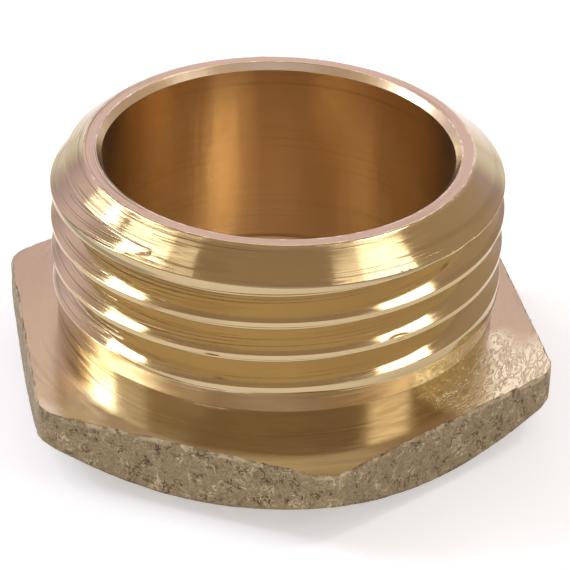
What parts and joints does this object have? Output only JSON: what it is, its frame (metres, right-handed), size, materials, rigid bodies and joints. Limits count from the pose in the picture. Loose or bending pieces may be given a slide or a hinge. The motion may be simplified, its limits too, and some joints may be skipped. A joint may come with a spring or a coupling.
{
  "type": "threaded plug",
  "caption": "Hollow brass blanking plug with a hexagonal head and a male parallel pipe thread, closing a threaded port against a flat sealing shoulder.",
  "frame": {"origin": "centre of the head's end face, on which the plug stands", "axes": "+Z along the plug's axis towards its open, threaded end; two flats of the hexagon face +X and -X"},
  "size_m": [0.019, 0.0216, 0.01],
  "materials": {
    "brass": "bright turned brass on the thread, rim and shoulder, with rough as-forged flats on the head"
  },
  "bodies": {
    "root": {"plug_body": "brass"}
  },
  "joints": []
}
